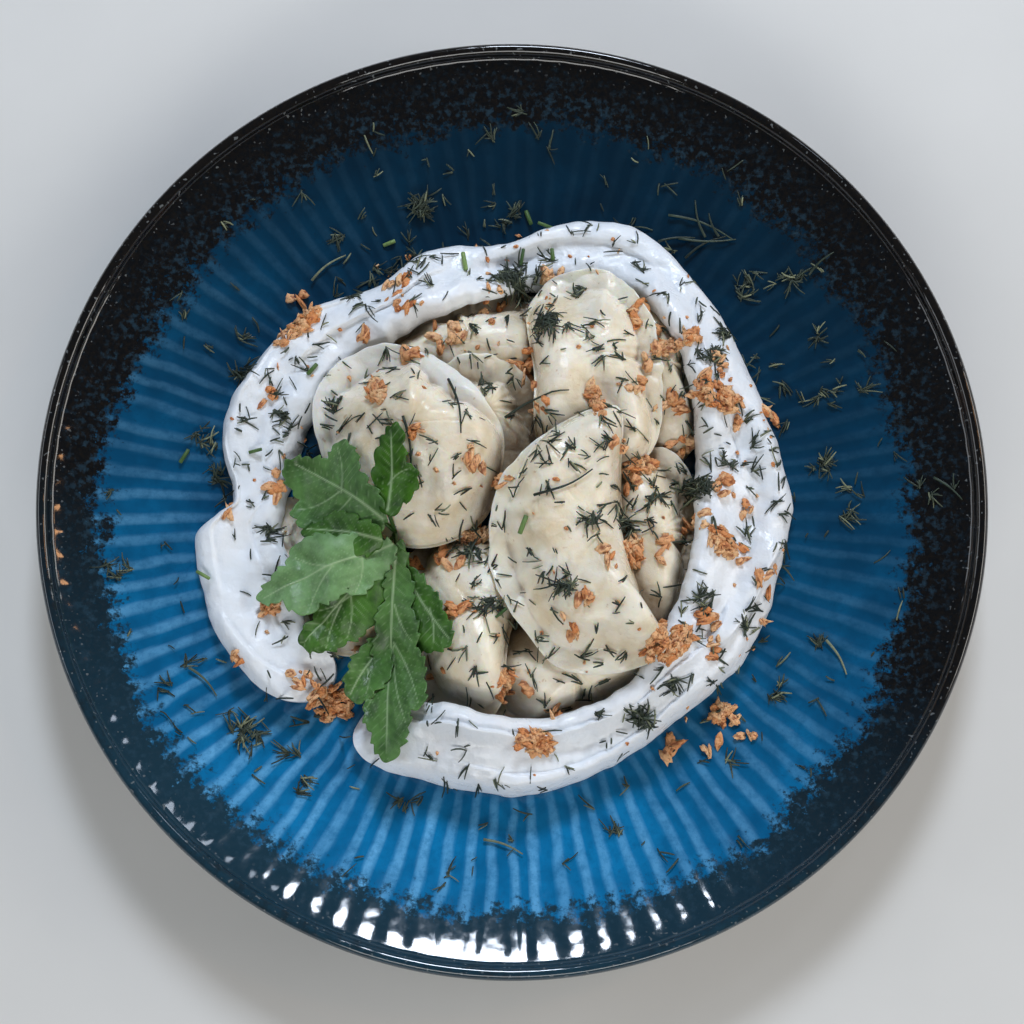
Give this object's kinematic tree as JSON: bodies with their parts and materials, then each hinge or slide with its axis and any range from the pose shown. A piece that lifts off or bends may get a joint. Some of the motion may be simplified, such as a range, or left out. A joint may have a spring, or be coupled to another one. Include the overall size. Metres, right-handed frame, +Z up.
{
  "type": "plated pierogi dumplings",
  "caption": "Boiled pierogi piled inside an open ring of sour cream on a blue ribbed stoneware plate, with fried onion, dill and a parsley leaf.",
  "frame": {"origin": "centre of the plate, on the surface the plate's foot stands on", "axes": "+Z up, out of the plate; -Y towards the diner; +X to the diner's right"},
  "size_m": [0.27, 0.27, 0.0454],
  "materials": {
    "glaze": "glossy reactive glaze, blue, running to brown black at the rim",
    "dough": "wet boiled dough, slightly translucent, satin",
    "sour_cream": "thick sour cream, moist satin",
    "herb": "fresh leaf, satin",
    "fried_onion": "crisp fried crumb, dull with oily glints"
  },
  "bodies": {
    "root": {"plate": "glaze", "sour_cream": "sour_cream", "pierogi_back_low": "dough", "pierogi_back_right_low": "dough", "pierogi_far_left": "dough", "pierogi_right": "dough", "pierogi_front_low": "dough", "pierogi_front_left": "dough", "pierogi_back_middle": "dough", "pierogi_back_right": "dough", "pierogi_left": "dough", "pierogi_front": "dough", "parsley": "herb", "onion_front_right": "fried_onion", "onion_back_right": "fried_onion", "onion_front_left": "fried_onion", "onion_front_left_small": "fried_onion", "onion_front": "fried_onion", "onion_on_plate": "fried_onion", "onion_middle": "fried_onion", "onion_back_long": "fried_onion", "onion_far_right": "fried_onion", "onion_far_left": "fried_onion", "onion_right_long": "fried_onion", "onion_front_long": "fried_onion", "onion_top": "fried_onion", "onion_right": "fried_onion", "onion_left": "fried_onion", "onion_left_top": "fried_onion"}
  },
  "joints": []
}
